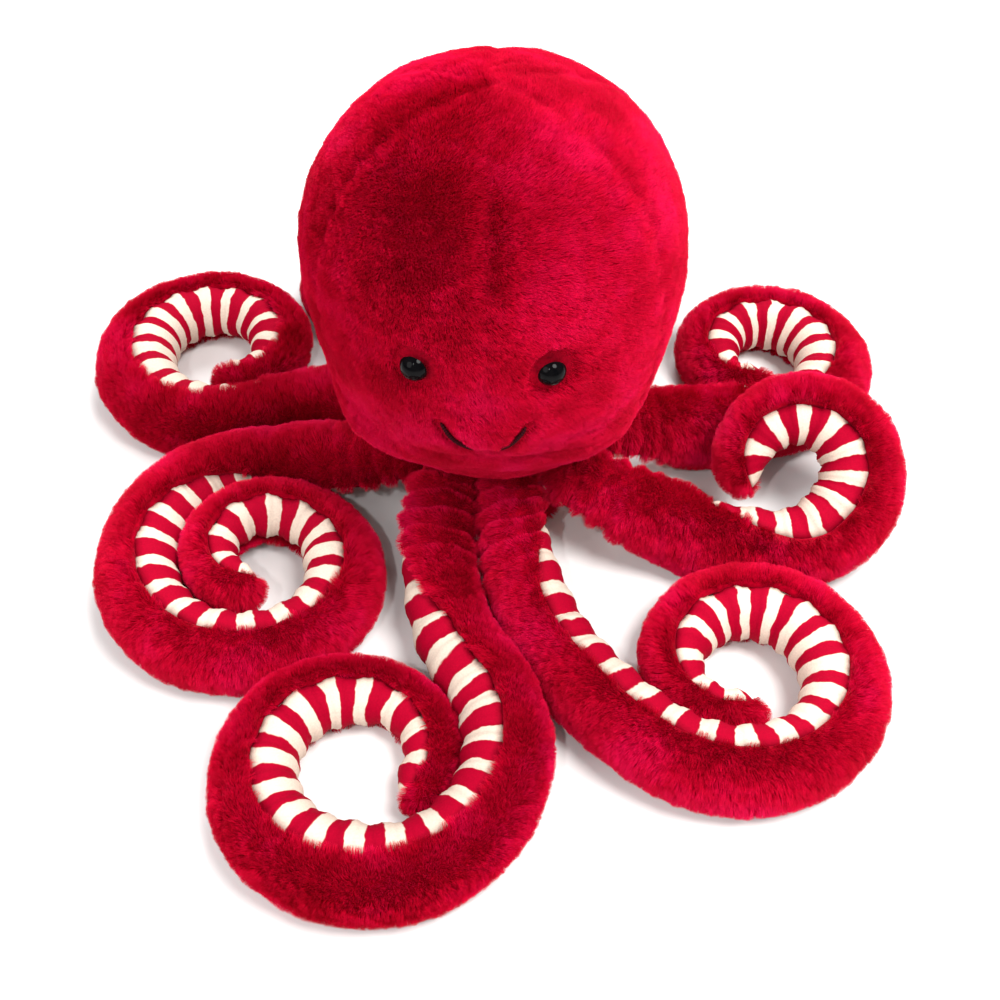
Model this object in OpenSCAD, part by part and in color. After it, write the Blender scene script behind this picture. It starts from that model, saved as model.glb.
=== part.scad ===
// Soft toy octopus: an egg-shaped head on a squat body, and eight coiled arms lying on the floor.
// Millimetres, +Z up, face towards -Y. The origin is the centre of the flat panel that the body rests on.

/* [Head] */
// Radius that the head's outline is drawn from
head_r = 105.5; // [80:0.5:130]
// Height of the head from its lowest point to its crown
head_h = 241; // [180:1:300]
// Height of the head's middle above the floor
head_mid_z = 192.5; // [150:0.5:230]
// How much wider the head is above its middle than below it
head_taper = 0.12; // [0:0.01:0.2]
// Fullness of the head near its crown and chin
head_fullness = 0.1; // [0:0.01:0.3]
// How far the head leans sideways and forwards of the body's centre
head_lean = [-1.5, -20]; // [-25:0.5:0]
// Turn of the face about the vertical
face_turn = -3; // [-10:1:10]
// Number of sewn fabric panels round the head
head_panels = 6; // [4:1:8]

/* [Face] */
// Diameter of each bead eye
eye_d = 15; // [9:0.5:18]
// Angle of each eye from the middle of the face
eye_angle = 19.5; // [12:0.5:28]
// Height of the eyes above the floor
eye_z = 213; // [180:1:230]
// Angles from the middle of the face at which each mouth stroke starts and ends
mouth_angles = [3, 12.6]; // [2:0.1:18]
// Heights above the floor at which each mouth stroke starts and ends
mouth_heights = [154, 177]; // [130:1:190]
// Diameter of the mouth's stitched line
mouth_d = 2; // [1:0.1:3]

/* [Body] */
// Radius of the body between the arms
body_r = 45; // [40:1:46]
// Height of the body's upper rim
body_h = 62; // [56:1:62]
// Radius of the ball of stuffing in the neck
neck_r = 28; // [22:1:29]
// Height of the neck's centre, which the head tips about
neck_z = 72; // [70:1:76]

/* [Arms] */
// Distance from the body's centre to each arm's seam
arm_start = 54; // [54:1:60]
// Direction of the front arm's seam from the body's centre
first_arm_angle = -125; // [-180:1:180]
// Radius of an arm at its seam
root_r = 20; // [16:0.5:20]
// Largest radius of an arm
full_r = 24; // [20:0.5:24]
// Radius of an arm just before its rounded tip
tip_r = 14; // [10:0.5:14]
// Height of an arm's seam above where the arm lies flat
root_rise = 26; // [0:1:28]
// Thickness of the fur fabric, pile included
fur_t = 5; // [3:0.5:6]
// Half of the angle round an arm that its striped underside covers
underside_half = 72; // [40:1:85]
// Direction that the underside faces in a coil, up from the coil's centre
underside_tip_up = 20; // [-10:1:30]
// Direction that the underside faces at the seam
underside_root = -100; // [-120:1:10]
// The same for the front arm and the front right arm, whose stripes show higher up
front_underside_root = [-80, -50]; // [-120:1:10]

/* [Arm lie: how each arm runs and coils] */
// Front arm: heading off its seam's direction, run length, bend of the run
front_run = [18, 133, 52]; // [-60:1:240]
// Front arm: first radius, last radius and turn of the coil
front_coil = [82, 31, 448]; // [14:1:640]
// Left arm: heading, run length, bend
left_run = [-6, 67, -16]; // [-60:1:240]
// Left arm: first radius, last radius, turn
left_coil = [86, 16, 580]; // [14:1:640]
// Left rear arm: heading, run length, bend
left_rear_run = [8, 125, 43]; // [-60:1:240]
// Left rear arm: first radius, last radius, turn
left_rear_coil = [75, 25, 397]; // [14:1:640]
// Rear left arm: heading, run length, bend
rear_left_run = [21, 111, -45]; // [-60:1:240]
// Rear left arm: first radius, last radius, turn
rear_left_coil = [62, 18, 390]; // [14:1:640]
// Rear right arm: heading, run length, bend
rear_right_run = [-5, 152, 21]; // [-60:1:240]
// Rear right arm: first radius, last radius, turn
rear_right_coil = [57, 14, 390]; // [14:1:640]
// Right rear arm: heading, run length, bend
right_rear_run = [6, 141, -3]; // [-60:1:240]
// Right rear arm: first radius, last radius, turn
right_rear_coil = [61, 18, 385]; // [14:1:640]
// Right arm: heading, run length, bend
right_run = [8, 134, 19]; // [-60:1:240]
// Right arm: first radius, last radius, turn
right_coil = [54, 24, 315]; // [14:1:640]
// Front right arm: heading, run length, bend
front_right_run = [-6, 183, 46]; // [-60:1:240]
// Front right arm: first radius, last radius, turn
front_right_coil = [72, 24, 433]; // [14:1:640]
// How far the right arm's coil tips up off the floor
right_tilt = 38; // [0:1:45]
// How far the inner turn of the left arm's coil rides up
left_nest = 14; // [0:1:20]

/* [Hidden] */
$fn = 64;
// Each arm: name, run, coil, hand of the coil seen from above (1 is anticlockwise), tilt, rise of the inner turn,
// how far from the seam its underside turns to face the coil's centre, and how it faces at the seam.
ARMS = [
    ["front", front_run, front_coil, -1, 0, 0, 110, front_underside_root[0]],
    ["left", left_run, left_coil, 1, 0, left_nest, 210, underside_root],
    ["left_rear", left_rear_run, left_rear_coil, -1, 0, 6, 170, underside_root],
    ["rear_left", rear_left_run, rear_left_coil, 1, 0, 0, 130, underside_root],
    ["rear_right", rear_right_run, rear_right_coil, 1, 0, 0, 130, underside_root],
    ["right_rear", right_rear_run, right_rear_coil, 1, 0, 6, 170, underside_root],
    ["right", right_run, right_coil, 1, right_tilt, 0, 130, underside_root],
    ["front_right", front_right_run, front_right_coil, 1, 0, 0, 75, front_underside_root[1]],
];
ARM_PIECES = ["fur", "underside", "stuffing"];
arm_pitch = 360 / len(ARMS);

red = "#a5001f";
shade_red = "#8c001a";
cream = "#ece0d2";
white = "#f4f2ee";
black = "#101010";

head_half = head_h / 2;
gap = 0.3;             // between pieces that are sewn or packed together
panel_gap_angle = 0.3; // between neighbouring head panels
eye_rise = 5.5;
eye_stem_r = 2.5;
eye_stem_l = 14;
washer_r = 8;
washer_t = 1.6;
base_t = 2.5;
pellet_bag_h = 20;
pocket_gap = 0.6;      // between the neck's ball and the head that tips round it
fewest_rings = 14;     // an arm's rings are these and one more for each ring_every of its length
ring_every = 26;       // the rings lie closer together towards its tip
ring_crowding = 1.5;
rise_length = 90;      // how far from its seam an arm comes down to the floor
nest_from = 300;       // turn at which an inner turn starts to ride up
nest_over = 120;
fur_sides = 6;
underside_sides = 5;
stuffing_sides = 6;
stuffing_fill = 0.84;
panel_t = 2.4;         // inner face of an underside's cloth, below the arm's surface
panel_gap = 2.7;       // degrees between the fur and the underside at their seam

arm_heads = [for (i = [0:len(ARMS) - 1]) ARMS[i][0]];

// ---- Head ----

// Radius of a surface that lies `inset` inside the head's outline, at `a` degrees up from its middle.
function head_radius(a, inset) =
    let (t = sin(a))
    (head_r * (1 + head_taper * t + head_fullness * (t * t - 0.3)) - inset) * cos(a);

function head_outline(inset) = [
    for (a = [-90:9:90]) [max(0, head_radius(a, inset)), head_mid_z + (head_half - inset) * sin(a)]
];

function head_radius_at(z) = head_radius(asin((z - head_mid_z) / head_half), 0);

module in_head() {
    translate([head_lean[0], head_lean[1], 0]) rotate([0, 0, face_turn]) children();
}

// Puts its children on the head's surface, `turn` degrees from the middle of the face, with +Z pointing out.
module on_face(turn, z, out = 0) {
    in_head()
        rotate([0, 0, turn - 90])
            translate([head_radius_at(z) + out, 0, z])
                rotate([0, 90, 0]) children();
}

module head_panel(i) {
    inner = head_outline(fur_t);
    outer = head_outline(0);
    step = 360 / head_panels;
    color(red) difference() {
        in_head()
            rotate([0, 0, i * step - 90 + panel_gap_angle / 2])
                rotate_extrude(angle = step - panel_gap_angle)
                    polygon(concat(outer, [for (k = [len(inner) - 1:-1:0]) inner[k]]));
        translate([0, 0, neck_z]) sphere(neck_r + pocket_gap);
        if (i == 0) on_face(eye_angle, eye_z, -20) cylinder(r = eye_stem_r + gap, h = 40);
        if (i == head_panels - 1) on_face(-eye_angle, eye_z, -20) cylinder(r = eye_stem_r + gap, h = 40);
    }
}

module head_stuffing() {
    color(white) difference() {
        in_head() rotate_extrude() polygon(head_outline(fur_t + gap));
        translate([0, 0, neck_z]) sphere(neck_r + pocket_gap);
        for (side = [-1, 1])
            on_face(side * eye_angle, eye_z, -eye_stem_l - 4) cylinder(r = washer_r + 1, h = 30);
    }
}

module eye(side) {
    ball_r = (pow(eye_d / 2, 2) + pow(eye_rise, 2)) / (2 * eye_rise);
    color(black) on_face(side * eye_angle, eye_z) {
        translate([0, 0, gap]) difference() {
            translate([0, 0, eye_rise - ball_r]) sphere(ball_r);
            translate([0, 0, -eye_d]) cylinder(r = eye_d, h = eye_d);
        }
        translate([0, 0, -eye_stem_l]) cylinder(r = eye_stem_r, h = eye_stem_l + gap + 1);
    }
}

module eye_washer(side) {
    color(white) on_face(side * eye_angle, eye_z, -fur_t - 2.4 - washer_t) difference() {
        cylinder(r = washer_r, h = washer_t);
        translate([0, 0, -1]) cylinder(r = eye_stem_r + 0.05, h = washer_t + 2);
    }
}

// Two short upturned strokes with a space between them, a tube laid on the fur.
module mouth_stitch() {
    steps = 8;
    for (side = [-1, 1]) {
        points = [
            for (i = [0:steps])
                let (
                    u = i / steps,
                    turn = side * (mouth_angles[0] + u * (mouth_angles[1] - mouth_angles[0])) - 90,
                    z = mouth_heights[0] + pow(u, 1.4) * (mouth_heights[1] - mouth_heights[0]),
                    r = head_radius_at(z) + mouth_d / 2 + 0.2
                )
                [r * cos(turn), r * sin(turn), z]
        ];
        color(shade_red) in_head() stroke(points, mouth_d / 2);
    }
}

module stroke(points, r) {
    n = len(points);
    rings = [
        for (i = [0:n - 1])
            let (
                t = unit(points[min(i + 1, n - 1)] - points[max(i - 1, 0)]),
                side = unit(cross([0, 0, 1], t)),
                up = cross(t, side),
                end = (i == 0 || i == n - 1) ? 0.5 : 1
            )
            [for (a = [0:60:300]) points[i] + r * end * (cos(a) * side + sin(a) * up)]
    ];
    polyhedron(points = flatten(rings), faces = loft_faces(n, 6, 0));
}

// ---- Body ----

module body_fur() {
    t = fur_t;
    color(shade_red) rotate_extrude() polygon([
        [body_r, 0], [body_r, body_h - 18], [body_r - 2, body_h - 10], [body_r - 7, body_h - 4],
        [neck_r + 3, body_h], [neck_r + 2, body_h - t], [body_r - 9.5, body_h - 4 - t],
        [body_r - 5, body_h - 12], [body_r - t, body_h - 19], [body_r - t, 0]
    ]);
}

module base_panel() {
    color(shade_red) cylinder(r = body_r - fur_t - gap, h = base_t);
}

module pellet_bag() {
    r = body_r - fur_t - 2;
    color(white) translate([0, 0, base_t + gap]) rotate_extrude() polygon([
        [0, 0], [r - 5, 0], [r, 5], [r, pellet_bag_h - 7], [r - 7, pellet_bag_h - 1], [0, pellet_bag_h]
    ]);
}

module body_stuffing() {
    r = body_r - fur_t - gap;
    foot = base_t + pellet_bag_h + 2 * gap;
    color(white) difference() {
        rotate_extrude() polygon([
            [0, foot], [r, foot], [r, body_h - 20], [r - 2.5, body_h - 13], [r - 8, body_h - 8], [0, body_h - 6]
        ]);
        translate([0, 0, neck_z]) sphere(neck_r + gap);
    }
}

module neck_stuffing() {
    color(white) translate([0, 0, neck_z]) sphere(neck_r);
}

// ---- Arms ----

function unit(v) = v / norm(v);
function flatten(lists) = [for (l = lists) each l];
function ease(x) = let (c = min(1, max(0, x))) c * c * (3 - 2 * c);
function radians(a) = a * PI / 180;

// An arm is a run of constant bend, then a coil whose radius falls evenly as it turns.
function coil_loss(arm) = (arm[2][0] - arm[2][1]) / radians(arm[2][2]);
function coil_length(arm) = (arm[2][0] + arm[2][1]) / 2 * radians(arm[2][2]);
function arm_length(arm) = arm[1][1] + coil_length(arm);

// Degrees turned by the coil, s millimetres along it.
function coil_turn(arm, s) =
    let (loss = coil_loss(arm), r = arm[2][0])
    (r - sqrt(max(0, r * r - 2 * loss * s))) / loss * 180 / PI;

// Where a path of constant bend has got to, and its heading: [x, y, heading].
function run_point(x, y, heading, length, bend) =
    let (half = bend / 2, reach = abs(half) < 0.01 ? length : length * sin(half) / radians(half))
    [x + reach * cos(heading + half), y + reach * sin(heading + half), heading + bend];

// The same for a coil that has turned by `turn`.
function coil_point(arm, start, turn) =
    let (
        hand = arm[3],
        loss = coil_loss(arm),
        r0 = arm[2][0],
        r = r0 - loss * radians(turn),
        h0 = start[2],
        h = h0 + hand * turn
    )
    [
        start[0] + hand * (r * sin(h) - r0 * sin(h0)) - loss * (cos(h) - cos(h0)),
        start[1] - hand * (r * cos(h) - r0 * cos(h0)) - loss * (sin(h) - sin(h0)),
        h
    ];

function seam_angle(i) = first_arm_angle - i * arm_pitch;

// Radius of an arm at s, before its tip is rounded off.
function arm_radius(arm, s) =
    let (u = s / arm_length(arm))
    u < 0.3
        ? root_r + (full_r - root_r) * sin(90 * u / 0.3)
        : full_r - (full_r - tip_r) * pow((u - 0.3) / 0.7, 1.8);

function tip_rounding(arm, s) =
    let (over = (s - arm_length(arm) + tip_r) / tip_r)
    over <= 0 ? 1 : sqrt(max(0.04, 1 - over * over));

// The middle of an arm at s, lying on the floor, with its coil tipped about the line where it starts.
function arm_point(i, s) =
    let (
        arm = ARMS[i],
        a = seam_angle(i),
        from = [arm_start * cos(a), arm_start * sin(a), a + arm[1][0]],
        lead = arm[1][1],
        in_run = min(s, lead),
        along = run_point(from[0], from[1], from[2], in_run, arm[1][2] * in_run / lead),
        turn = s > lead ? coil_turn(arm, s - lead) : 0,
        flat = s > lead ? coil_point(arm, along, turn) : along,
        across = arm[3] * [-sin(along[2]), cos(along[2])],
        n = (flat[0] - along[0]) * across[0] + (flat[1] - along[1]) * across[1],
        slide = n * (cos(arm[4]) - 1),
        z = arm_radius(arm, s) + root_rise * max(0, 1 - s / rise_length)
            + arm[5] * ease((turn - nest_from) / nest_over) + n * sin(arm[4])
    )
    [flat[0] + slide * across[0], flat[1] + slide * across[1], max(z, arm_radius(arm, s))];

// Which way the underside faces at s, up from level with the coil's centre.
function underside_facing(i, s) =
    let (
        arm = ARMS[i],
        turn = s > arm[1][1] ? coil_turn(arm, s - arm[1][1]) : 0,
        tip_in = ease((s - arm[1][1] + 40) / 80)
    )
    arm[7] + (underside_tip_up - arm[7]) * ease(s / arm[6])
        + tip_in * asin(cos(turn) * sin(arm[4]));

// A ring of points round the arm at s: radius r, from angle a to angle b about the way the underside faces.
function arm_arc(i, s, r, a, b, sides) =
    let (
        t = unit(arm_point(i, s + 1) - arm_point(i, s - 1)),
        level = unit(cross([0, 0, 1], t)),
        up = cross(t, level),
        inward = ARMS[i][3] * level,
        facing = underside_facing(i, s)
    )
    [
        for (k = [0:sides])
            let (w = facing + a + (b - a) * k / sides)
            arm_point(i, s) + r * (cos(w) * inward + sin(w) * up)
    ];

function ring_count(arm) = round(fewest_rings + arm_length(arm) / ring_every);
function station(arm, k, last) = arm_length(arm) * (1 - pow(1 - k / last, ring_crowding));

// Triangles of a loft: m points a ring, n rings. A wall (open = 1) has caps across it, a solid has fans.
function loft_faces(n, m, open) = concat(
    flatten([
        for (k = [0:n - 2]) for (j = [0:m - 1])
            let (a = k * m + j, b = k * m + (j + 1) % m, c = a + m, d = b + m)
            [[a, c, b], [b, c, d]]
    ]),
    open == 1
        ? flatten([
            for (j = [0:m / 2 - 2])
                let (a = j, b = j + 1, c = m - 1 - j, d = m - 2 - j, e = (n - 1) * m)
                [[a, b, c], [b, d, c], [a + e, c + e, b + e], [b + e, c + e, d + e]]
        ])
        : flatten([for (j = [1:m - 2]) [[0, j, j + 1], [(n - 1) * m, (n - 1) * m + j + 1, (n - 1) * m + j]]])
);

function flipped(faces) = [for (f = faces) [f[0], f[2], f[1]]];

// A strip of the arm's wall, between radii that are `outer` and `inner` below its surface.
module arm_wall(i, outer, inner, a, b, sides) {
    arm = ARMS[i];
    count = ring_count(arm);
    rings = [
        for (k = [0:count - 1])
            let (
                s = station(arm, k, count - 1),
                r = arm_radius(arm, s) * tip_rounding(arm, s),
                shrink = min(1, r / (2 * inner)),
                out_arc = arm_arc(i, s, r - outer * shrink, a, b, sides),
                in_arc = arm_arc(i, s, r - inner * shrink, a, b, sides)
            )
            concat(out_arc, [for (j = [sides:-1:0]) in_arc[j]])
    ];
    faces = loft_faces(count, 2 * sides + 2, 1);
    polyhedron(points = flatten(rings), faces = arm[3] > 0 ? faces : flipped(faces));
}

module arm_fur(i) {
    edge = underside_half + panel_gap;
    color(red) arm_wall(i, 0, fur_t, edge, 360 - edge, fur_sides);
}

module arm_underside(i) {
    color(cream) arm_wall(i, 0.4, panel_t, -underside_half, underside_half, underside_sides);
}

module arm_stuffing(i) {
    arm = ARMS[i];
    count = ring_count(arm);
    last = count - 3;
    rings = [
        for (k = [0:last])
            let (
                s = station(arm, k, count - 1),
                r = (arm_radius(arm, s) * tip_rounding(arm, s) - fur_t) * stuffing_fill
            )
            arm_arc(i, s, r, 0, 360 - 360 / stuffing_sides, stuffing_sides - 1)
    ];
    faces = loft_faces(last + 1, stuffing_sides, 0);
    color(white) polyhedron(points = flatten(rings), faces = arm[3] > 0 ? faces : flipped(faces));
}

for (i = [0:head_panels - 1])
    head_panel(i);
head_stuffing();
eye(1);  // left_eye
eye(-1);  // right_eye
eye_washer(1);  // left_eye_washer
eye_washer(-1);  // right_eye_washer
mouth_stitch();
body_fur();
body_stuffing();
neck_stuffing();
base_panel();
pellet_bag();
for (i = [0:len(ARMS) - 1]) {
    arm_fur(i);
    arm_underside(i);
    arm_stuffing(i);
}
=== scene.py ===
"""Soft toy octopus in red plush, on a pale floor. Lengths are in millimetres until a mesh is made."""

import math
from collections import namedtuple

import bmesh
import bpy
import numpy as np
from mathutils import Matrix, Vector


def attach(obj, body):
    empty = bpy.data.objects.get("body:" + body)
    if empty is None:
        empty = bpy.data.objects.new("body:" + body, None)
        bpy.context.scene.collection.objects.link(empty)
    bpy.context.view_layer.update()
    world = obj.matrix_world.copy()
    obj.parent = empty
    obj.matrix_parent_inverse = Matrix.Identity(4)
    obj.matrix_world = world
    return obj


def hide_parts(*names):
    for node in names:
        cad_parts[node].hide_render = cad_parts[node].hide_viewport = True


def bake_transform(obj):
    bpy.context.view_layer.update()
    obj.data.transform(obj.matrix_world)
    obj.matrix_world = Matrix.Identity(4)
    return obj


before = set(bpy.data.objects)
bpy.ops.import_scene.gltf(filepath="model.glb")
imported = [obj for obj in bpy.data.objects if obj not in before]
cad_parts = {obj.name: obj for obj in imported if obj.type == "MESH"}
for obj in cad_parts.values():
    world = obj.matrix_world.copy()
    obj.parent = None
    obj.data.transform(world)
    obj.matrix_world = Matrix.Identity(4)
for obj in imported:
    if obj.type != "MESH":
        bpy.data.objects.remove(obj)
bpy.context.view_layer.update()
MM = 0.001

# ---- Shape, as in the CAD ----

HEAD_R, HEAD_HALF, HEAD_MID = 105.5, 120.5, 192.5
HEAD_TAPER, HEAD_FULLNESS = 0.12, 0.10
HEAD_LEAN = (-1.5, -20.0)
FACE_TURN = -3.0
EYE_ANGLE, EYE_Z = 19.5, 213.0
NECK_R, NECK_Z = 28.0, 72.0
NECK_CLEARANCE = 1.2
ARM_START, FIRST_ARM = 54.0, -125.0
ROOT_R, FULL_R, TIP_R = 20.0, 24.0, 14.0
ROOT_RISE, RISE_LENGTH = 26.0, 90.0
UNDERSIDE_HALF = 72.0
UNDERSIDE_TIP = 20.0
STRIPE_PITCH = 23.0
STRIPE_WOBBLE = 0.42  # how far the stripes stray, as a share of their pitch

# An arm leaves its seam at heading degrees from straight out, and bends by bend degrees over run mm. Then it
# coils through turn degrees, leftwards (hand 1) or rightwards (hand -1), while its radius goes from first to
# last mm. The coil is tipped by tilt degrees, and its inner turn is raised by nest mm. At the seam the
# underside faces facing degrees from the coil's side, and it turns to that side over twist mm.
Arm = namedtuple("Arm", "heading run bend first last turn hand tilt nest twist facing")
ARMS = {
    "front": Arm(18, 133, 52, 82, 31, 448, -1, 0, 0, 110, -80),
    "left": Arm(-6, 67, -16, 86, 16, 580, 1, 0, 14, 210, -100),
    "left_rear": Arm(8, 125, 43, 75, 25, 397, -1, 0, 6, 170, -100),
    "rear_left": Arm(21, 111, -45, 62, 18, 390, 1, 0, 0, 130, -100),
    "rear_right": Arm(-5, 152, 21, 57, 14, 390, 1, 0, 0, 130, -100),
    "right_rear": Arm(6, 141, -3, 61, 18, 385, 1, 0, 6, 170, -100),
    "right": Arm(8, 134, 19, 54, 24, 315, 1, 38, 0, 130, -100),
    "front_right": Arm(-6, 183, 46, 72, 24, 433, 1, 0, 0, 75, -50),
}


def ease(x):
    x = np.clip(x, 0.0, 1.0)
    return x * x * (3 - 2 * x)


def unit(v):
    return v / np.linalg.norm(v, axis=-1, keepdims=True)


def noise(points, size, seed):
    """Smooth noise from -1 to 1, whose lumps are about size millimetres across."""
    table = np.random.default_rng(seed).uniform(-1, 1, (32, 32, 32))
    q = points / size
    cell = np.floor(q).astype(int)
    f = q - cell
    f = f * f * (3 - 2 * f)
    total = np.zeros(points.shape[:-1])
    for corner in np.ndindex(2, 2, 2):
        weight = np.ones(points.shape[:-1])
        for axis in range(3):
            weight = weight * (f[..., axis] if corner[axis] else 1 - f[..., axis])
        at = (cell + np.array(corner)) % 32
        total += weight * table[at[..., 0], at[..., 1], at[..., 2]]
    return total


def grid_mesh(name, points, wrap=False, close_start=False, close_end=False, flip=False, fields=None):
    """A mesh from a grid of points in millimetres.

    wrap joins its last column to its first, a closed end is drawn together to one point, and fields are
    named values for each point. The uv layer runs along the rows and columns, for the lie of the pile."""
    rows, cols = points.shape[:2]
    index = np.arange(rows * cols).reshape(rows, cols)
    if close_start:
        index[0, :] = index[0, 0]
    if close_end:
        index[-1, :] = index[-1, 0]
    row, col = np.meshgrid(np.arange(rows - 1), np.arange(cols if wrap else cols - 1), indexing="ij")
    corners = [(row, col), (row, col + 1), (row + 1, col + 1), (row + 1, col)]
    if flip:
        corners.reverse()
    quads = np.stack([index[r, c % cols] for r, c in corners], axis=-1).reshape(-1, 4)
    places = np.stack([np.stack([c / cols, r / rows], -1) for r, c in corners], axis=-2).reshape(-1, 4, 2)
    used = np.unique(quads)
    renumber = np.zeros(rows * cols, int)
    renumber[used] = np.arange(len(used))
    faces, uvs = [], []
    for q, place in zip(renumber[quads].tolist(), places.tolist()):
        kept = [k for k in range(4) if q[k] != q[k - 1]]
        if len(kept) > 2:
            faces.append([q[k] for k in kept])
            uvs.extend(value for k in kept for value in place[k])
    flat = points.reshape(-1, 3)[used] * MM
    mesh = bpy.data.meshes.new(name)
    mesh.from_pydata(flat.tolist(), [], faces)
    mesh.polygons.foreach_set("use_smooth", np.ones(len(mesh.polygons), bool))
    mesh.uv_layers.new(name="grain").data.foreach_set("uv", uvs)
    for field, values in (fields or {}).items():
        attribute = mesh.attributes.new(field, "FLOAT", "POINT")
        attribute.data.foreach_set("value", values.reshape(-1)[used].astype(np.float32))
    mesh.update()
    obj = bpy.data.objects.new(name, mesh)
    bpy.context.scene.collection.objects.link(obj)
    return obj


def open_round(obj, centre, radius):
    """Take away the part of obj's skin that lies inside a ball, given in millimetres."""
    skin = bmesh.new()
    skin.from_mesh(obj.data)
    inside = [v for v in skin.verts if (v.co - Vector(centre) * MM).length < radius * MM]
    bmesh.ops.delete(skin, geom=inside, context="VERTS")
    skin.to_mesh(obj.data)
    skin.free()


def set_group(obj, name, field):
    """A vertex group whose weights are the values of a named field."""
    values = np.zeros(len(obj.data.vertices), np.float32)
    obj.data.attributes[field].data.foreach_get("value", values)
    group = obj.vertex_groups.new(name=name)
    steps = np.round(values * 20) / 20
    for weight in np.unique(steps):
        group.add(np.nonzero(steps == weight)[0].tolist(), float(weight), "REPLACE")


# ---- Materials ----


class Nodes:
    """A short way to write a material's nodes."""

    def __init__(self, name):
        self.material = bpy.data.materials.new(name)
        self.material.use_nodes = True
        self.tree = self.material.node_tree
        self.tree.nodes.clear()
        self.shader = self.add("ShaderNodeBsdfPrincipled")
        out = self.add("ShaderNodeOutputMaterial")
        self.join(self.shader, "BSDF", out, "Surface")

    def add(self, kind, **values):
        node = self.tree.nodes.new(kind)
        for key, value in values.items():
            setattr(node, key, value)
        return node

    def join(self, a, a_socket, b, b_socket):
        self.tree.links.new(a.outputs[a_socket], b.inputs[b_socket])

    def set(self, **values):
        for key, value in values.items():
            self.shader.inputs[key.replace("_", " ")].default_value = value

    def noise(self, scale, detail=3.0, rough=0.55):
        place = self.add("ShaderNodeTexCoord")
        texture = self.add("ShaderNodeTexNoise")
        texture.inputs["Scale"].default_value = scale
        texture.inputs["Detail"].default_value = detail
        texture.inputs["Roughness"].default_value = rough
        self.join(place, "Object", texture, "Vector")
        return texture

    def ramp(self, source, socket, stops):
        """Colours by the value of a socket. stops are pairs of value and colour."""
        ramp = self.add("ShaderNodeValToRGB")
        ramp.color_ramp.interpolation = "LINEAR"
        elements = ramp.color_ramp.elements
        while len(elements) < len(stops):
            elements.new(1.0)
        for element, (at, colour) in zip(elements, stops):
            element.position = at
            element.color = (*colour, 1)
        self.join(source, socket, ramp, "Fac")
        return ramp

    def multiply(self, a, a_socket, b):
        """The product of two colours. Its own socket is Result."""
        node = self.add("ShaderNodeMix", data_type="RGBA", blend_type="MULTIPLY")
        node.inputs["Factor"].default_value = 1.0
        self.join(a, a_socket, node, "A")
        self.join(b, "Color", node, "B")
        return node

    def bump(self, height, socket, strength, distance):
        bump = self.add("ShaderNodeBump")
        bump.inputs["Strength"].default_value = strength
        bump.inputs["Distance"].default_value = distance
        self.join(height, socket, bump, "Height")
        self.join(bump, "Normal", self.shader, "Normal")


def grey(value):
    return (value, value, value)


def fur_backing(name, dark, light):
    """The fur's own cloth and the roots of its pile: tufted, with a soft bright edge."""
    m = Nodes(name)
    tufts = m.noise(190, 5, 0.65)
    patches = m.noise(22, 2)
    fine = m.ramp(tufts, "Fac", [(0.32, dark), (0.72, light)])
    broad = m.ramp(patches, "Fac", [(0.3, grey(0.72)), (0.7, grey(1.0))])
    colour = m.multiply(fine, "Color", broad)
    m.join(colour, "Result", m.shader, "Base Color")
    m.set(Roughness=0.85, Sheen_Weight=0.4, Sheen_Roughness=0.4, Sheen_Tint=(1.0, 0.05, 0.12, 1))
    m.set(Specular_IOR_Level=0.1, Specular_Tint=(1.0, 0.05, 0.1, 1))
    strands = m.noise(420, 4, 0.7)
    m.bump(strands, "Fac", 0.7, 0.0012)
    return m.material


def fur_pile(name, root, tip, painted_tip_sheen):
    """The pile's strands: painted shade darkens them at the root and a painted pink sheen brightens the tip;
    they vary one by one, and in broad patches with a painted sheen where the pile is lifted and painted
    shade where it lies flat.
    """
    m = Nodes(name)
    strand = m.add("ShaderNodeHairInfo")
    # Painted shade at the roots, deep in the pile, and a painted pink sheen at the tips.
    length = m.ramp(strand, "Intercept", [(0.0, root), (0.55, tip), (1.0, painted_tip_sheen)])
    vary = m.ramp(strand, "Random", [(0.0, grey(0.8)), (0.6, grey(0.95)), (1.0, (1.1, 1.2, 1.2))])
    each = m.multiply(length, "Color", vary)
    # Broad patches at random: where the pile is lifted they get a painted pink sheen, and where it lies flat
    # they get painted shade.
    brushed = m.noise(24, 4, 0.6)
    flat, plain, painted_sheen_lifted = (0.78, 0.6, 0.5), (0.97, 0.9, 0.85), (1.12, 1.6, 1.7)
    broad = m.ramp(brushed, "Fac", [(0.36, flat), (0.5, plain), (0.66, painted_sheen_lifted)])
    colour = m.multiply(each, "Result", broad)
    m.join(colour, "Result", m.shader, "Base Color")
    m.set(Roughness=0.55, Specular_IOR_Level=0.3, Specular_Tint=(1.0, 0.12, 0.2, 1))
    return m.material


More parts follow.
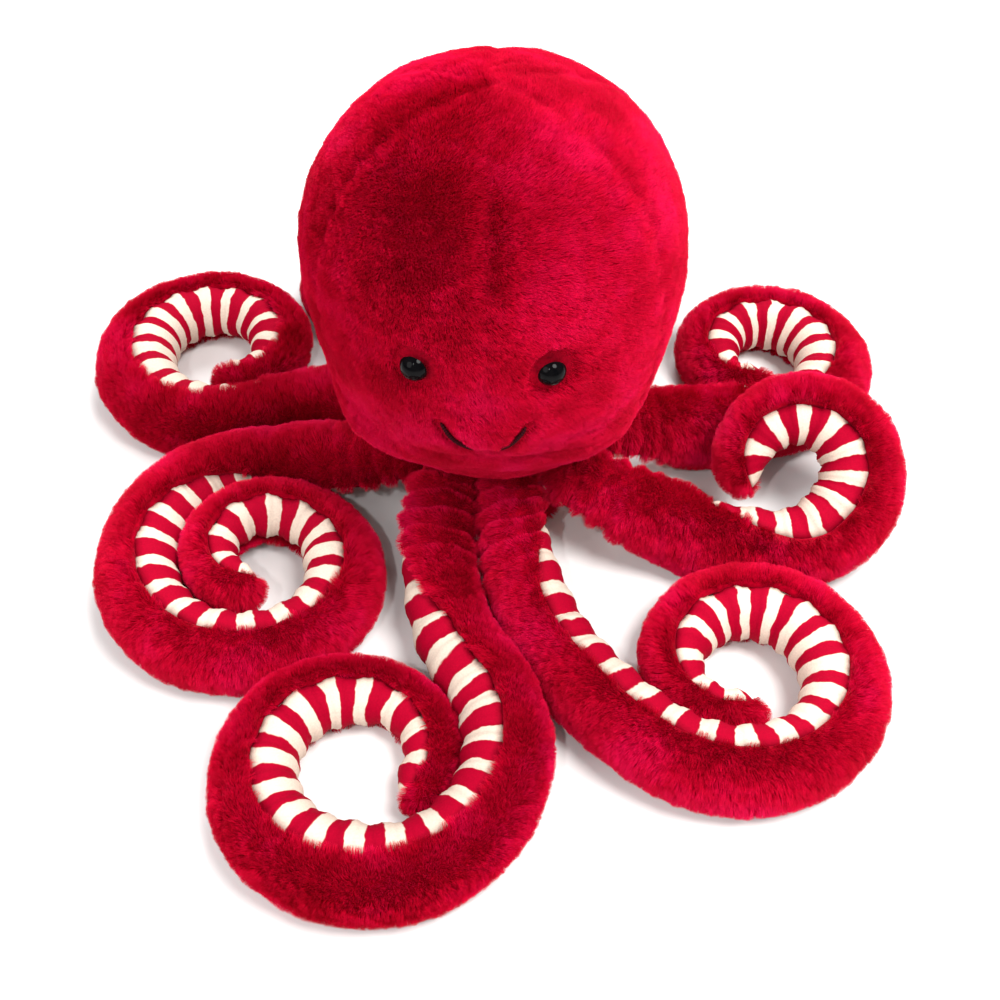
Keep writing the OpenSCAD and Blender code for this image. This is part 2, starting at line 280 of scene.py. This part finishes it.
def striped_cloth(name, red, cream):
    """Thin cloth with cross stripes, placed by each point's distance along the arm."""
    m = Nodes(name)
    along = m.add("ShaderNodeAttribute", attribute_name="along")
    across = m.add("ShaderNodeAttribute", attribute_name="across")
    wobble = m.noise(55, 3)
    shift = m.add("ShaderNodeMath", operation="MULTIPLY_ADD")
    m.join(wobble, "Fac", shift, 0)
    shift.inputs[1].default_value = STRIPE_WOBBLE
    m.join(along, "Fac", shift, 2)
    turn = m.add("ShaderNodeMath", operation="FRACT")
    m.join(shift, "Value", turn, 0)
    stripes = m.ramp(turn, "Value", [(0.0, red), (0.03, cream), (0.46, cream), (0.49, red)])
    # Threads of the weave, finer than the stripes.
    weave = m.noise(900, 2, 0.5)
    tone = m.ramp(weave, "Fac", [(0.3, grey(0.86)), (0.7, grey(1.0))])
    woven = m.multiply(stripes, "Color", tone)
    # Painted shade: the cloth's colour is darkened along both edges, where it is tucked into its seams and
    # shade falls.
    tucked = (0.55, 0.5, 0.5)
    # tucked is the painted shade's colour, and this ramp is its mask across the panel.
    seam = m.ramp(across, "Fac", [(0.0, tucked), (0.1, grey(1)), (0.9, grey(1)), (1.0, tucked)])
    colour = m.multiply(woven, "Result", seam)
    m.join(colour, "Result", m.shader, "Base Color")
    m.set(Roughness=0.8, Specular_IOR_Level=0.05)
    m.bump(weave, "Fac", 0.35, 0.0004)
    return m.material


def plain_cloth(name, colour, scale=700.0):
    """One colour with a grain, finer as scale grows."""
    m = Nodes(name)
    weave = m.noise(scale, 3, 0.6)
    dark = tuple(c * 0.75 for c in colour)
    tone = m.ramp(weave, "Fac", [(0.3, dark), (0.7, colour)])
    m.join(tone, "Color", m.shader, "Base Color")
    m.set(Roughness=0.85, Sheen_Weight=0.2)
    m.bump(weave, "Fac", 0.4, 0.0006)
    return m.material


def bead(name):
    """Polished black plastic with faint scuffs in its gloss."""
    m = Nodes(name)
    scuffs = m.noise(260, 4, 0.6)
    rough = m.ramp(scuffs, "Fac", [(0.4, grey(0.05)), (0.8, grey(0.12))])
    tone = m.ramp(scuffs, "Fac", [(0.3, (0.0015, 0.0015, 0.002)), (0.8, (0.004, 0.0035, 0.004))])
    m.join(tone, "Color", m.shader, "Base Color")
    m.join(rough, "Color", m.shader, "Roughness")
    m.set(Specular_IOR_Level=0.06)
    return m.material


def thread(name):
    """Embroidery thread, twisted: its colour is painted lighter and darker in short slants along the
    stitches, a painted gloss, and the same wave bumps it.
    """
    m = Nodes(name)
    along = m.add("ShaderNodeAttribute", attribute_name="along")
    wave = m.add("ShaderNodeMath", operation="SINE")
    m.join(along, "Fac", wave, 0)
    # Painted gloss: the colour turns lighter and darker in turn along the stitches.
    tone = m.ramp(wave, "Value", [(0.0, (0.018, 0.0, 0.002)), (1.0, (0.065, 0.001, 0.006))])
    m.join(tone, "Color", m.shader, "Base Color")
    m.set(Roughness=0.7, Specular_IOR_Level=0.1)
    m.bump(wave, "Value", 0.5, 0.0003)
    return m.material


def floor_paint(name):
    """Matt off-white with faint clouds."""
    m = Nodes(name)
    cloud = m.noise(1.3, 3)
    tone = m.ramp(cloud, "Fac", [(0.3, (0.80, 0.79, 0.78)), (0.7, (0.86, 0.855, 0.85))])
    m.join(tone, "Color", m.shader, "Base Color")
    m.set(Roughness=0.6, Specular_IOR_Level=0.2)
    return m.material


FUR = fur_backing("red_fur_backing", (0.18, 0.0, 0.006), (0.50, 0.0005, 0.018))
PILE = fur_pile("red_fur_pile", (0.30, 0.0, 0.008), (0.70, 0.0008, 0.034), (0.80, 0.006, 0.060))
STRIPED = striped_cloth("striped_cloth", (0.36, 0.0, 0.018), (0.74, 0.62, 0.51))
BEAD = bead("black_bead")
THREAD = thread("dark_thread")
FIBRE = plain_cloth("white_fibre", (0.86, 0.85, 0.82), 120.0)
WASHER = plain_cloth("washer_plastic", (0.78, 0.78, 0.76), 300.0)
BASE = plain_cloth("base_cloth", (0.30, 0.002, 0.012))
BAG = plain_cloth("pellet_cloth", (0.80, 0.78, 0.72), 900.0)


def dress(node, material):
    """Give a piece that keeps its CAD shape its material."""
    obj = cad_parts[node]
    obj.data.materials.clear()
    obj.data.materials.append(material)


# ---- Fur ----

COMB_PHASE = 0.5  # which way along the grain the pile is laid
PILE_SLOT = 2


def grow(obj, length, parents, per_parent, seed, comb=0.0, clump=0.16):
    """Pile on obj, length mm long.

    Each parent strand stands for per_parent strands round it. comb lays them over along the grain, from 0
    for upright to 1 for flat."""
    set_group(obj, "pile", "pile")
    obj.data.materials.append(PILE)
    system = obj.modifiers.new("pile", "PARTICLE_SYSTEM").particle_system
    system.seed = seed
    s = system.settings
    s.type = "HAIR"
    s.count = parents
    s.hair_length = length * MM
    s.use_advanced_hair = True
    quarter = length * MM / 4  # the length that these settings' unit stands for
    s.normal_factor = quarter * math.sqrt(1 - comb * comb)
    s.tangent_factor = quarter * comb
    s.tangent_phase = COMB_PHASE
    s.factor_random = quarter * 0.12
    s.hair_step = 2
    s.display_step = 1
    s.render_step = 2
    s.material = PILE_SLOT
    s.use_even_distribution = True
    s.child_type = "INTERPOLATED"
    s.child_percent = 0
    s.rendered_child_count = per_parent
    s.radius_scale = MM
    s.root_radius = 0.22
    s.tip_radius = 0.05
    s.clump_factor = clump
    s.clump_shape = 0.1
    s.roughness_1 = 0.25 * MM
    s.roughness_1_size = 0.03
    s.roughness_2 = 0.7 * MM
    s.roughness_2_size = 0.01
    s.roughness_endpoint = 0.9 * MM
    system.vertex_group_density = "pile"
    system.vertex_group_length = "pile"


# ---- Head ----

LEAST_OFFSET = -4.6  # the skin's inner face is never further in than this, mm
SEAMS = (-90, -30, 30, 90, 150, -150)  # directions of the seams between the head's panels
MOUTH_TURNS, MOUTH_HEIGHTS = (3.0, 12.6), (154.0, 177.0)

# How the stuffed face stands out from the plain outline. Each row is a push in mm, then the middle of its
# place in degrees from the face's own middle and mm of height, then how wide and how high it is.
FACE_SHAPES = (
    (4.0, 0, 169, 34, 16),  # muzzle
    (-3.0, 0, 143, 40, 7),  # crease under the muzzle
    (-1.5, 0, 197, 7, 15),  # bridge between the eyes
    (1.6, 33, 181, 22, 20),  # cheeks
    (1.6, -33, 181, 22, 20),
    (6.0, 52, 132, 28, 18),  # jowls
    (10.0, -58, 127, 34, 20),
    (-2.6, 0, 114, 45, 16),  # chin
    (-2.0, -72, 196, 30, 34),  # temple
    (-2.6, 1, 277, 7, 17),  # dent in the forehead
    (-2.0, EYE_ANGLE, EYE_Z, 10, 10),  # the eyes pull the skin in
    (-2.0, -EYE_ANGLE, EYE_Z, 10, 10),
)


def head_outline_r(a):
    t = np.sin(a)
    return HEAD_R * (1 + HEAD_TAPER * t + HEAD_FULLNESS * (t * t - 0.3)) * np.cos(a)


def head_base(azimuth, a):
    """Points of the head's outline: azimuth in degrees in plan, a in radians up from its middle."""
    r = head_outline_r(a)
    az = np.radians(azimuth)
    x = HEAD_LEAN[0] + r * np.cos(az)
    y = HEAD_LEAN[1] + r * np.sin(az)
    return np.stack([x, y, HEAD_MID + HEAD_HALF * np.sin(a)], -1)


def angle_gap(a, b):
    return (a - b + 180) % 360 - 180


def head_r(points):
    """Distance of points from the head's own axis."""
    return np.hypot(points[..., 0] - HEAD_LEAN[0], points[..., 1] - HEAD_LEAN[1])


def beside(azimuth, points, turn):
    """Millimetres round the head from a line that is turn degrees from the face's middle."""
    return np.radians(angle_gap(azimuth, turn + FACE_TURN - 90)) * head_r(points)


def near(azimuth, points, turn, z, wide, high):
    """1 at a place on the face, falling to 0 over wide and high millimetres."""
    x = beside(azimuth, points, turn)
    y = points[..., 2] - z
    return np.exp(-((x / wide) ** 2) - (y / high) ** 2)


def mouth_points(side, count=26):
    """Places along one stroke of the smile, as degrees from the face's middle and heights."""
    u = np.linspace(0, 1, count)
    turns = MOUTH_TURNS[0] + u * (MOUTH_TURNS[1] - MOUTH_TURNS[0])
    heights = MOUTH_HEIGHTS[0] + (MOUTH_HEIGHTS[1] - MOUTH_HEIGHTS[0]) * u ** 1.5
    return side * turns, heights


def head_offset(azimuth, points):
    """How far the sewn and stuffed head stands from its outline."""
    r = head_r(points)
    z = points[..., 2]
    out = 1.1 * noise(points, 46, 1) + 0.5 * noise(points, 17, 2) + 0.2 * noise(points, 6, 3) - 2.0
    for seam in SEAMS:
        d = np.abs(np.radians(angle_gap(azimuth, seam + FACE_TURN))) * r
        # The face's own seam fades below the forehead.
        depth = 1.1 if seam != -90 else np.where(z > 208, 1.0, 0.5)
        out -= depth * np.exp(-((d / 4.0) ** 2)) * ease((z - 80) / 30)
        pucker = 0.5 * np.sin(z / 2.3 + seam) * np.exp(-((d / 7.0) ** 2))
        out += pucker * ease((z - 90) / 30)
    for push, turn, height, wide, high in FACE_SHAPES:
        out += push * near(azimuth, points, turn, height, wide, high)
    return np.maximum(out, LEAST_OFFSET)


def head_surface(azimuth, a):
    """The head's plain outline, its normals and how far the skin stands from it."""
    points = head_base(azimuth, a)
    step = 0.01
    lean = head_base(azimuth, a + step) - head_base(azimuth, a - step)
    az = np.radians(azimuth)
    spin = np.stack([-np.sin(az), np.cos(az), np.zeros_like(az)], -1)
    normal = unit(np.cross(spin, lean))
    return points, normal, head_offset(azimuth, points)


def face_clearance(azimuth, points):
    """Length of the pile, from 0 to 1, which is shaved round the eyes and the mouth's stitches."""
    keep = np.ones(points.shape[:-1])
    for side in (-1, 1):
        d = np.hypot(beside(azimuth, points, side * EYE_ANGLE), points[..., 2] - EYE_Z)
        keep = np.minimum(keep, ease((d - 8.5) / 9.0))
        for turn, z in zip(*mouth_points(side)):
            d = np.hypot(beside(azimuth, points, turn), points[..., 2] - z)
            keep = np.minimum(keep, 0.15 + 0.85 * ease((d - 1.5) / 6.0))
    return keep


def make_head():
    a = np.radians(np.concatenate([np.linspace(-90, -30, 40), np.linspace(-30, 90, 110)[1:]]))
    azimuth = np.linspace(0, 360, 288, endpoint=False)
    az, el = np.meshgrid(azimuth, a)
    points, normal, offset = head_surface(az, el)
    points = points + normal * offset[..., None]
    under = ease((points[..., 2] - 70) / 8)
    brushed = 0.88 + 0.10 * noise(points, 13, 5) + 0.06 * noise(points, 5, 6)
    pile = np.minimum(face_clearance(az, points), 0.3 + 0.7 * under) * brushed
    obj = grid_mesh("head_fur", points, wrap=True, close_start=True, close_end=True, fields={"pile": pile})
    open_round(obj, (0, 0, NECK_Z), NECK_R + NECK_CLEARANCE)
    obj.data.materials.append(FUR)
    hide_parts(*[f"head_panel_{i}" for i in range(1, 7)])
    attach(obj, "head")
    grow(obj, 5.4, 10000, 75, seed=11, comb=0.45, clump=0.06)


def tube(name, centre, radius, sides, fields):
    """A tube with closed ends through a row of points."""
    t = unit(np.gradient(centre, axis=0))
    side = unit(np.cross([0.0, 0.0, 1.0], t))
    up = np.cross(t, side)
    w = np.linspace(0, 2 * math.pi, sides, endpoint=False)
    ring = np.cos(w)[None, :, None] * side[:, None] + np.sin(w)[None, :, None] * up[:, None]
    points = centre[:, None] + ring * np.asarray(radius)[:, None, None]
    return grid_mesh(name, points, wrap=True, close_start=True, close_end=True, fields=fields)


def make_mouth():
    """Two strokes of close satin stitches, a little sunk in the fur."""
    rings, sides, stitches = 70, 10, 150
    parts = []
    for side, hand in ((-1, "right"), (1, "left")):
        turns, z = mouth_points(side, rings)
        a = np.arcsin((z - HEAD_MID) / HEAD_HALF)
        points, normal, offset = head_surface(turns + FACE_TURN - 90, a)
        centre = points + normal * (offset + 0.9)[:, None]
        u = np.linspace(0, 1, rings)
        ends = np.sqrt(np.clip(1 - (2 * u - 1) ** 8, 0, 1))
        thick = 1.2 * ends * (1 + 0.10 * np.sin(u * stitches))
        thick[0] = thick[-1] = 0.0
        along = np.repeat(u[:, None] * stitches, sides, axis=1)
        parts.append(tube(f"mouth_stroke_{hand}", centre, thick, sides, {"along": along}))
    for obj in parts:
        obj.data.materials.append(THREAD)
        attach(obj, "head")
    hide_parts("mouth_stitch")


# ---- Arms ----


INSIDE = 15  # how far an arm's skin goes on into the body, mm
UNDER_SEAM = 12  # the skin is squeezed between its neighbours up to here, mm past the seam
COVER_STEP, COVER_SIDES = 2.4, 34
PANEL_STEP, PANEL_SIDES = 1.7, 26


def arm_heading(name):
    """The direction in plan, in radians, in which an arm leaves the body."""
    return math.radians(FIRST_ARM - 45 * list(ARMS).index(name))


def coil_turn(arm, s):
    """How far the coil has turned, in radians, s millimetres from its start."""
    loss = (arm.first - arm.last) / math.radians(arm.turn)
    return (arm.first - np.sqrt(np.maximum(arm.first * arm.first - 2 * loss * s, 0))) / loss


def arm_length(arm):
    return arm.run + (arm.first + arm.last) / 2 * math.radians(arm.turn)


def arm_radius(arm, s):
    u = np.clip(s / arm_length(arm), 0, 1)
    thick = ROOT_R + (FULL_R - ROOT_R) * np.sin(np.minimum(u / 0.3, 1) * math.pi / 2)
    thin = FULL_R - (FULL_R - TIP_R) * (np.maximum(u - 0.3, 0) / 0.7) ** 1.8
    return np.where(u < 0.3, thick, thin)


def arm_path(name, s):
    """The middle of an arm, s millimetres from its seam. Below 0 it goes on into the body."""
    arm = ARMS[name]
    root = arm_heading(name)
    h0, bend, tilt = root + math.radians(arm.heading), math.radians(arm.bend), math.radians(arm.tilt)
    # The run, a gentle bend.
    run = np.clip(s, 0, arm.run)
    half = bend * run / arm.run / 2
    reach = run * np.sinc(half / math.pi)
    inside = np.minimum(s, 0)
    x = ARM_START * math.cos(root) + reach * np.cos(h0 + half) + inside * math.cos(root)
    y = ARM_START * math.sin(root) + reach * np.sin(h0 + half) + inside * math.sin(root)
    # The coil, a spiral that tightens evenly with its turn.
    h1 = h0 + bend
    loss = (arm.first - arm.last) / math.radians(arm.turn)
    theta = coil_turn(arm, np.maximum(s - arm.run, 0))
    radius, h = arm.first - loss * theta, h1 + arm.hand * theta
    dx = arm.hand * (radius * np.sin(h) - arm.first * math.sin(h1)) - loss * (np.cos(h) - math.cos(h1))
    dy = -arm.hand * (radius * np.cos(h) - arm.first * math.cos(h1)) - loss * (np.sin(h) - math.sin(h1))
    # Its tilt about the line of the run's end, and its height.
    across = arm.hand * np.array([-math.sin(h1), math.cos(h1)])
    n = dx * across[0] + dy * across[1]
    slide = n * (math.cos(tilt) - 1)
    thick = arm_radius(arm, s)
    z = thick + ROOT_RISE * np.clip(1 - s / RISE_LENGTH, 0, 1.05)
    z = z + arm.nest * ease((np.degrees(theta) - 300) / 120) + n * math.sin(tilt) - 0.35 * inside
    return np.stack([x + dx + slide * across[0], y + dy + slide * across[1], np.maximum(z, thick)], -1)


def arm_frame(name, s):
    """Middle, inward and up directions, and the way the underside faces, at each s."""
    arm = ARMS[name]
    centre = arm_path(name, s)
    t = unit(arm_path(name, s + 4) - arm_path(name, s - 4))
    level = unit(np.cross([0.0, 0.0, 1.0], t))
    up = np.cross(t, level)
    theta = coil_turn(arm, np.maximum(s - arm.run, 0))
    facing = arm.facing + (UNDERSIDE_TIP - arm.facing) * ease(s / arm.twist)
    tipped = np.degrees(np.arcsin(np.cos(theta) * math.sin(math.radians(arm.tilt))))
    facing = facing + ease((s - arm.run + 40) / 80) * tipped
    return centre, arm.hand * level, up, facing


def arm_stations(name, step):
    """Distances along an arm, from inside the body to the middle of its rounded tip."""
    end = arm_length(ARMS[name]) - TIP_R
    straight = np.linspace(-INSIDE, end, int((end + INSIDE) / step))
    tip = end + TIP_R * np.sin(np.radians(np.linspace(0, 90, 12)[1:]))
    return np.concatenate([straight, tip])


def arm_surface(name, s, w, r):
    """Points round the arm: w degrees from the way its underside faces, r millimetres from its middle."""
    arm = ARMS[name]
    centre, inward, up, facing = arm_frame(name, s)
    over = np.clip((s - arm_length(arm) + TIP_R) / TIP_R, 0, 1)
    rounding = np.sqrt(np.maximum(1 - over * over, 0))
    rounding[-1] = 0
    room = (ARM_START + np.minimum(s, UNDER_SEAM)) * math.tan(math.radians(22.5)) - 1.2
    narrow = np.where(s < UNDER_SEAM, np.minimum(1, room / arm_radius(arm, s)), 1.0)
    angle = np.radians(facing[:, None] + w)
    x = r * rounding[:, None] * narrow[:, None] * np.cos(angle)
    y = r * rounding[:, None] * np.sin(angle)
    return centre[:, None] + x[..., None] * inward[:, None] + y[..., None] * up[:, None]


def room_beside(name, s):
    """Free space in millimetres between an arm at each s and the rest of the same arm."""
    arm = ARMS[name]
    other = np.arange(0, arm_length(arm), 4.0)
    here, there = arm_path(name, s), arm_path(name, other)
    gap = np.linalg.norm(here[:, None] - there[None], axis=-1)
    gap = gap - arm_radius(arm, s)[:, None] - arm_radius(arm, other)[None]
    return np.where(np.abs(s[:, None] - other[None]) > 75, gap, 99.0).min(axis=1)


def make_cover(name, seed):
    """The fur round an arm's back and sides, gathered at its seam and tucked in beside the underside."""
    arm = ARMS[name]
    s = arm_stations(name, COVER_STEP)
    edge = UNDERSIDE_HALF + 1.5
    lip = np.array([edge - 3, edge - 1.5, edge + 1])
    w = np.concatenate([lip, np.linspace(edge + 5, 355 - edge, COVER_SIDES), 360 - lip[::-1]])
    tucks = [5.0, 2.2, 0.8]
    sink = np.concatenate([tucks, np.zeros(COVER_SIDES), tucks[::-1]])
    base = arm_radius(arm, s)
    S, W = np.meshgrid(s, w, indexing="ij")
    skin = arm_surface(name, s, W, np.repeat(base[:, None], len(w), 1))
    gather = (1 - ease((S - 22) / 52)) * (2.4 if "front" in name else 1.6)
    folds = np.sin(2 * math.pi * (S + 3.0 * noise(skin, 14, seed)) / 12.5)
    rise = 1.1 * noise(skin, 38, seed + 1) + 0.6 * noise(skin, 13, seed + 2)
    rise = rise + 0.35 * noise(skin, 5.5, seed + 3)
    from_edge = np.minimum(W - edge, 360 - edge - W)
    scallop = 0.6 * np.cos(2 * math.pi * S / STRIPE_PITCH) * np.exp(-((from_edge / 14) ** 2))
    rise = rise + gather * folds + scallop - 0.3
    r = base[:, None] + rise - sink[None, :] * np.minimum(1, base / 20)[:, None]
    points = arm_surface(name, s, W, r)
    points[..., 2] = np.maximum(points[..., 2], 0.4)
    pile = np.ones(S.shape)
    pile *= 1 - 0.35 * (1 - ease((S - 30) / 50)) * (1 - 0.5 * folds)
    pile *= 0.88 + 0.10 * noise(skin, 12, seed + 8) + 0.06 * noise(skin, 5, seed + 9)
    pile[:, :2] = pile[:, -2:] = 0.0
    cover = grid_mesh(f"{name}_arm_cover", points, close_end=True, flip=arm.hand < 0, fields={"pile": pile})
    cover.data.materials.append(FUR)
    return cover


def make_underside(name, seed):
    """An arm's striped panel, thinner than the fur and puffed between the puckers of its seams."""
    arm = ARMS[name]
    s = arm_stations(name, PANEL_STEP)
    half = UNDERSIDE_HALF
    across = np.linspace(-half + 2, half - 2, PANEL_SIDES)
    w = np.concatenate([[-half - 2.5, -half - 0.5], across, [half + 0.5, half + 2.5]])
    base = arm_radius(arm, s)
    S, W = np.meshgrid(s, w, indexing="ij")
    rim = np.clip(np.abs(W) / half, 0, 1)
    skin = arm_surface(name, s, W, np.repeat(base[:, None], len(w), 1))
    pleat = np.cos(2 * math.pi * (S / STRIPE_PITCH - 0.25)) * (0.8 + 0.9 * rim ** 3)
    crumple = 0.5 * np.sin(2 * math.pi * (S + 2.5 * noise(skin, 12, seed + 5)) / 6.4)
    crumple = crumple * (0.3 + 0.7 * rim ** 2)
    most = 6 if name == "front" else 9
    bulge = np.clip(room_beside(name, s) * 0.32, 0, most) * ease((s - arm.run + 30) / 60)
    tucked = np.where(np.abs(W) > half, 2.2, 0) + np.where(np.abs(W) > half + 2, 2.0, 0)
    dip = 2.2 - bulge[:, None] * (1 - rim ** 2) + 1.6 * rim ** 4 + tucked
    r = base[:, None] - dip * np.minimum(1, base / 20)[:, None]
    r = r + pleat + crumple + 0.3 * noise(skin, 9, seed + 6)
    points = arm_surface(name, s, W, r)
    points[..., 2] = np.maximum(points[..., 2], 0.5)
    fields = {"along": S / STRIPE_PITCH, "across": (W + half) / (2 * half)}
    panel = grid_mesh(f"{name}_arm_panel", points, close_end=True, flip=arm.hand < 0, fields=fields)
    panel.data.materials.append(STRIPED)
    return panel


def make_arm(name, seed):
    cover = make_cover(name, seed)
    panel = make_underside(name, seed)
    for obj, node, colour in ((cover, "fur", "red_fur"), (panel, "underside", "striped_panel")):
        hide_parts(f"{name}_arm_{node}")
        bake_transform(obj)
    area = float(arm_length(ARMS[name]) * 1.2 * 92)
    grow(cover, 6.4, int(area / 20), 62, seed, comb=0.4, clump=0.18)


# ---- Body ----


def make_body():
    """The body's own fur between the arms."""
    # Radius and height of its side, from the floor up and in to the neck.
    profile = [(43.5, 1), (44, 8), (44, 20), (44, 32), (43.5, 42), (42, 50), (39, 56), (35, 60), (31, 62)]
    u = np.linspace(0, len(profile) - 1, 40)
    r, z = (np.interp(u, range(len(profile)), column) for column in zip(*profile))
    w = np.linspace(0, 2 * math.pi, 160, endpoint=False)
    R, W = np.meshgrid(r, w, indexing="ij")
    Z = np.repeat(z[:, None], len(w), 1)
    R = R - 1.0 + 0.9 * np.cos(8 * (W - math.radians(FIRST_ARM)))
    points = np.stack([R * np.cos(W), R * np.sin(W), Z], -1)
    points += unit(points * [1, 1, 0]) * (0.5 * noise(points, 9, 71))[..., None]
    body = grid_mesh("body_cover", points, wrap=True, fields={"pile": np.full(Z.shape, 0.8)})
    body.data.materials.append(FUR)
    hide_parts("body_fur")
    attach(body, "body")
    grow(body, 5.0, 900, 20, seed=21)


def make_neck():
    """The gathered ring where the head is sewn on, fuller behind, where it goes round the neck's ball."""
    w = np.linspace(0, 2 * math.pi, 192, endpoint=False)
    U, W = np.meshgrid(np.linspace(0, 1, 26), w, indexing="ij")
    wide = 35 + 9 * U ** 1.2 + 2 * np.maximum(np.sin(W), 0)
    folds = 1.3 * np.sin(26 * W + 1.5 * np.sin(3 * W)) * (1 - 0.5 * U)
    R = wide + folds
    x = HEAD_LEAN[0] * U + R * np.cos(W)
    y = HEAD_LEAN[1] * U ** 1.5 + R * np.sin(W)
    points = np.stack([x, y, 58 + 34 * U], -1)
    points += unit(points * [1, 1, 0]) * (0.6 * noise(points, 8, 73))[..., None]
    neck = grid_mesh("neck_gathers", points, wrap=True, fields={"pile": np.full(U.shape, 0.7)})
    neck.data.materials.append(FUR)
    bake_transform(neck)
    grow(neck, 6.0, 1200, 26, seed=22)


make_head()
make_mouth()
for number, name in enumerate(ARMS):
    make_arm(name, 100 + 10 * number)
make_body()
make_neck()

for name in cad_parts:
    if name.endswith("_stuffing"):
        dress(name, FIBRE)
for side in ("left", "right"):
    dress(f"{side}_eye", BEAD)
    dress(f"{side}_eye_washer", WASHER)
dress("base_panel", BASE)
dress("pellet_bag", BAG)

# ---- Floor, light and camera ----

FLOOR_SIZE = 40  # metres, so that its edge stays far off in every view
AMBIENT, SEEN, MIRRORED = 0.6, 0.5, 0.05

bpy.ops.mesh.primitive_plane_add(size=FLOOR_SIZE)
floor = bpy.context.object
floor.name = "floor"
floor.data.materials.append(floor_paint("pale_floor"))


def look_at(obj, place, aim):
    obj.location = place
    obj.rotation_euler = (Vector(aim) - Vector(place)).to_track_quat("-Z", "Y").to_euler()
    bpy.context.scene.collection.objects.link(obj)


def area_light(name, place, aim, size, watts, colour=(1, 1, 1)):
    data = bpy.data.lights.new(name, "AREA")
    data.shape = "DISK"
    data.size = size
    data.energy = watts
    data.color = colour
    look_at(bpy.data.objects.new(name, data), place, aim)


area_light("key", (0.75, -0.55, 1.75), (0, -0.05, 0.12), 0.9, 46, (1.0, 0.985, 0.97))
area_light("fill", (-1.3, -1.1, 1.3), (0, 0, 0.12), 1.4, 17)
area_light("rim", (0.2, 1.4, 1.5), (0, 0, 0.15), 1.0, 30)
area_light("sparkle", (-0.25, -0.9, 1.15), (0, -0.1, 0.2), 0.045, 4.0)

world = bpy.data.worlds.new("studio")
bpy.context.scene.world = world
world.use_nodes = True
sky = world.node_tree
background = sky.nodes["Background"]
background.inputs["Color"].default_value = (1, 1, 1, 1)
# Seen by the camera it is as bright as the far floor. Mirrored it is dim, so that the bead eyes stay black.
path = sky.nodes.new("ShaderNodeLightPath")
seen = sky.nodes.new("ShaderNodeMix")
seen.inputs["A"].default_value = AMBIENT
seen.inputs["B"].default_value = SEEN
sky.links.new(path.outputs["Is Camera Ray"], seen.inputs["Factor"])
mirrored = sky.nodes.new("ShaderNodeMix")
sky.links.new(seen.outputs["Result"], mirrored.inputs["A"])
mirrored.inputs["B"].default_value = MIRRORED
sky.links.new(path.outputs["Is Glossy Ray"], mirrored.inputs["Factor"])
sky.links.new(mirrored.outputs["Result"], background.inputs["Strength"])

camera_data = bpy.data.cameras.new("camera")
camera_data.lens = 49
camera = bpy.data.objects.new("camera", camera_data)
look_at(camera, (0.002, -0.617, 0.672), (0.002, -0.048, 0.040))
bpy.context.scene.camera = camera

bpy.context.scene.view_settings.view_transform = "Standard"
bpy.context.scene.cycles_curves.shape = "RIBBONS"
